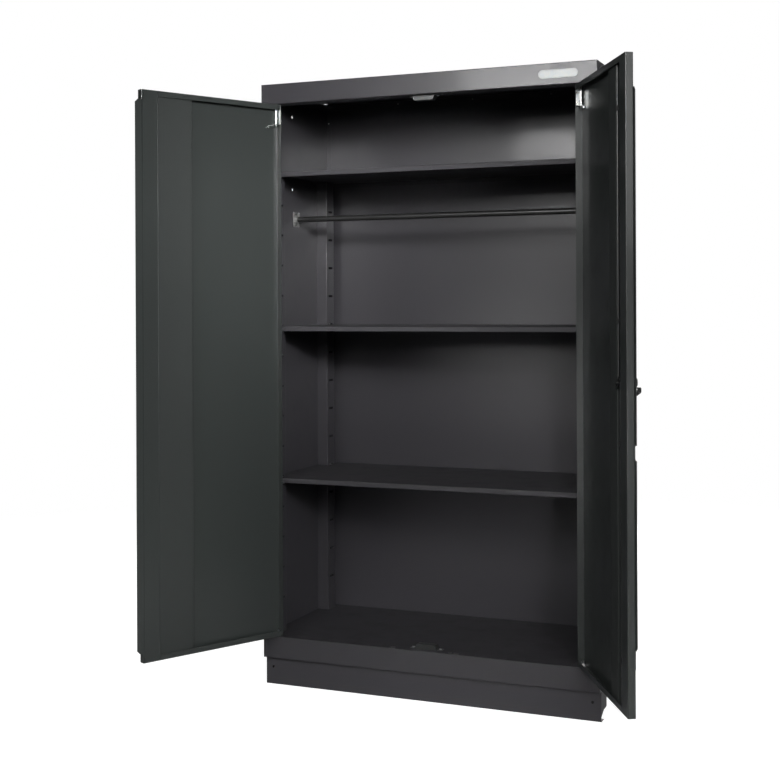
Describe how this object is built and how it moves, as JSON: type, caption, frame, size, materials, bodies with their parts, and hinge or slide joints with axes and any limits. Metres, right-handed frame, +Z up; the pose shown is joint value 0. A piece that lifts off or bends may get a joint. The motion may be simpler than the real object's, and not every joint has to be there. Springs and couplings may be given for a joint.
{
  "type": "double-door cabinet",
  "caption": "Tall folded-steel cabinet with hinged doors, shelves on clips, a hanging rail, a turning rod lock and levelling feet behind a plinth.",
  "frame": {"origin": "middle of the plinth's bottom flange, on the floor, half way between the two sides", "axes": "+Z up, +Y to the back of the cabinet, +X to the right seen from the front"},
  "size_m": [1.3861, 0.8964, 1.8],
  "materials": {
    "coat": "satin powder coat",
    "zinc": "bright zinc plate",
    "plastic": "matt moulding",
    "badge": "blank satin plate",
    "black": "black satin"
  },
  "bodies": {
    "carcass": {"left_side_panel": "coat", "right_side_panel": "coat", "top_panel": "coat", "floor_panel": "coat", "back_panel": "coat", "plinth": "coat", "front_left_upright": "coat", "front_right_upright": "coat", "rear_left_upright": "coat", "rear_right_upright": "coat", "top_shelf": "coat", "middle_shelf": "coat", "lower_shelf": "coat", "hanging_rail": "coat", "left_rail_bracket": "coat", "right_rail_bracket": "coat", "leg_brackets": "zinc", "leg_bolts": "zinc", "foot_nuts": "zinc", "shelf_clips": "zinc", "catch_screws": "zinc", "back_screws": "zinc", "top_catch": "zinc", "bottom_catch": "zinc", "bottom_pivot_pins": "zinc", "door_glides": "plastic", "top_hinge_bushes": "plastic", "rod_sockets": "plastic", "rail_screws": "black", "plinth_screws": "black", "badge_plate": "badge"},
    "left_door": {"left_door_pan": "coat", "left_door_stiffener": "coat", "left_overlap_strip": "coat", "left_hinge_bracket": "zinc", "left_pin_spring": "zinc", "left_bottom_bush": "plastic"},
    "right_door": {"right_door_pan": "coat", "right_door_stiffener": "coat", "right_overlap_strip": "coat", "right_hinge_bracket": "zinc", "right_pin_spring": "zinc", "right_bottom_bush": "plastic", "lock_escutcheon": "black", "lock_nut": "zinc", "rod_guides": "plastic"},
    "left_hinge_pin": {"left_hinge_pin": "zinc"},
    "right_hinge_pin": {"right_hinge_pin": "zinc"},
    "lock_handle": {"lock_handle": "black", "lock_cam": "zinc", "cam_screw": "zinc"},
    "key_plug": {"key_plug": "zinc"},
    "upper_lock_rod": {"upper_lock_rod": "zinc"},
    "lower_lock_rod": {"lower_lock_rod": "zinc"},
    "front_left_foot": {"front_left_foot": "zinc"},
    "front_right_foot": {"front_right_foot": "zinc"},
    "rear_left_foot": {"rear_left_foot": "zinc"},
    "rear_right_foot": {"rear_right_foot": "zinc"}
  },
  "joints": [
    {"name": "left_door_hinge", "type": "hinge", "parent": "carcass", "child": "left_door", "pos_m": [-0.4665, -0.027, 0.944], "axis": [0, 0, -1], "range_deg": [-117, 0]},
    {"name": "right_door_hinge", "type": "hinge", "parent": "carcass", "child": "right_door", "pos_m": [0.4665, -0.027, 0.944], "axis": [0, 0, 1], "range_deg": [-119, 0]},
    {"name": "left_hinge_pin_slide", "type": "slide", "parent": "left_door", "child": "left_hinge_pin", "axis": [0, 0, 1], "range_m": [-0.0095, 0], "stiffness_N_per_m": 300, "springref_m": 0.01, "deforming": ["left_pin_spring"]},
    {"name": "right_hinge_pin_slide", "type": "slide", "parent": "right_door", "child": "right_hinge_pin", "axis": [0, 0, 1], "range_m": [-0.0095, 0], "stiffness_N_per_m": 300, "springref_m": 0.01, "deforming": ["right_pin_spring"]},
    {"name": "lock_turn", "type": "hinge", "parent": "right_door", "child": "lock_handle", "pos_m": [0.65597, -0.35645, 0.946], "axis": [0.8746, 0.4848, 0], "range_deg": [0, 90]},
    {"name": "key_turn", "type": "hinge", "parent": "lock_handle", "child": "key_plug", "pos_m": [0.65597, -0.35645, 0.946], "axis": [0.8746, 0.4848, 0], "range_deg": [0, 90]},
    {"name": "upper_rod_slide", "type": "slide", "parent": "right_door", "child": "upper_lock_rod", "axis": [0, 0, 1], "range_m": [0, 0.0181]},
    {"name": "lower_rod_slide", "type": "slide", "parent": "right_door", "child": "lower_lock_rod", "axis": [0, 0, -1], "range_m": [0, 0.0181]},
    {"name": "front_left_foot_slide", "type": "slide", "parent": "carcass", "child": "front_left_foot", "axis": [0, 0, -1], "range_m": [0, 0.015]},
    {"name": "front_right_foot_slide", "type": "slide", "parent": "carcass", "child": "front_right_foot", "axis": [0, 0, -1], "range_m": [0, 0.015]},
    {"name": "rear_left_foot_slide", "type": "slide", "parent": "carcass", "child": "rear_left_foot", "axis": [0, 0, -1], "range_m": [0, 0.015]},
    {"name": "rear_right_foot_slide", "type": "slide", "parent": "carcass", "child": "rear_right_foot", "axis": [0, 0, -1], "range_m": [0, 0.015]}
  ],
  "couplings": [
    {"joint": "upper_rod_slide", "follows": "lock_turn", "m_per_rad": 0.011459},
    {"joint": "lower_rod_slide", "follows": "lock_turn", "m_per_rad": 0.011459}
  ]
}
